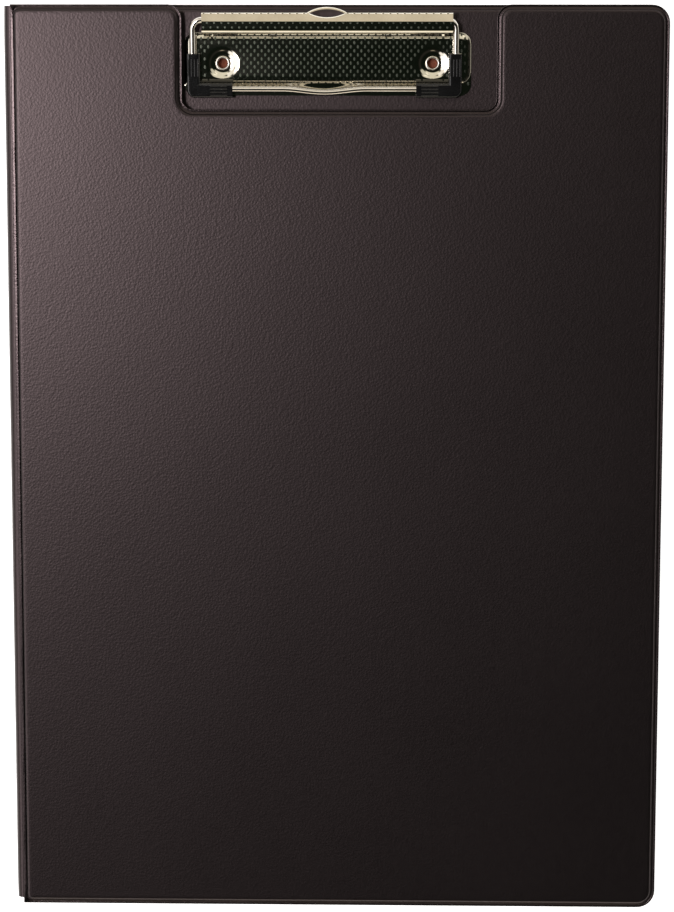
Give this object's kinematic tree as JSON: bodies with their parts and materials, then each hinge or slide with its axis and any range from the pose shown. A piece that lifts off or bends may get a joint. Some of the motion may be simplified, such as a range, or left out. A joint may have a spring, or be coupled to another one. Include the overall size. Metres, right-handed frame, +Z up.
{
  "type": "fold-over clipboard",
  "caption": "Black foil-covered fold-over clipboard with a bulged spine, a notched front cover and a low press-lever wire clip with rubber corner grips",
  "frame": {"origin": "centre of the closed folder's footprint, on the surface that it lies on", "axes": "X across the folder from the spine to the free edge, Y up the page towards the clip, Z up from the back cover to the front cover"},
  "size_m": [0.23, 0.321, 0.0117],
  "materials": {
    "cover_foil": "black embossed foil, fine grain, satin",
    "spine_foil": "black foil stretched over the spine, satin",
    "greyboard": "bare grey board",
    "pocket_film": "thin smooth dark film",
    "nickel_steel": "nickel-plated pressed sheet steel",
    "nickel_wire": "nickel-plated round steel wire",
    "eyelet_brass": "nickel-plated rolled eyelet, warm inside",
    "spring_steel": "drawn spring wire",
    "grip_rubber": "black soft rubber, satin, ribbed"
  },
  "bodies": {
    "back_cover": {"back_outer_foil": "cover_foil", "back_board": "greyboard", "back_inner_foil": "cover_foil", "clip_plate": "nickel_steel", "eyelet_left": "eyelet_brass", "eyelet_right": "eyelet_brass", "lever_pin": "nickel_wire", "spring_left": "spring_steel", "spring_right": "spring_steel"},
    "spine": {"spine_outer_foil": "spine_foil", "spine_inner_foil": "spine_foil"},
    "front_cover": {"front_outer_foil": "cover_foil", "front_board": "greyboard", "front_inner_foil": "cover_foil", "front_pocket": "pocket_film"},
    "press_clip": {"clip_lever": "nickel_steel", "bail_wire": "nickel_wire", "grip_left": "grip_rubber", "grip_right": "grip_rubber"}
  },
  "joints": [
    {"name": "back_crease", "type": "hinge", "parent": "back_cover", "child": "spine", "pos_m": [-0.1127, 0, 0.0009], "axis": [0, -1, 0], "range_deg": [0, 180]},
    {"name": "front_crease", "type": "hinge", "parent": "spine", "child": "front_cover", "pos_m": [-0.1127, 0, 0.0069], "axis": [0, -1, 0], "range_deg": [0, 180]},
    {"name": "lever_press", "type": "hinge", "parent": "back_cover", "child": "press_clip", "pos_m": [-0.0029, 0.15245, 0.0069], "axis": [-1, 0, 0], "range_deg": [0, 28], "stiffness_Nm_per_rad": 0.12, "springref_deg": -22.92, "deforming": ["spring_left", "spring_right"]}
  ]
}
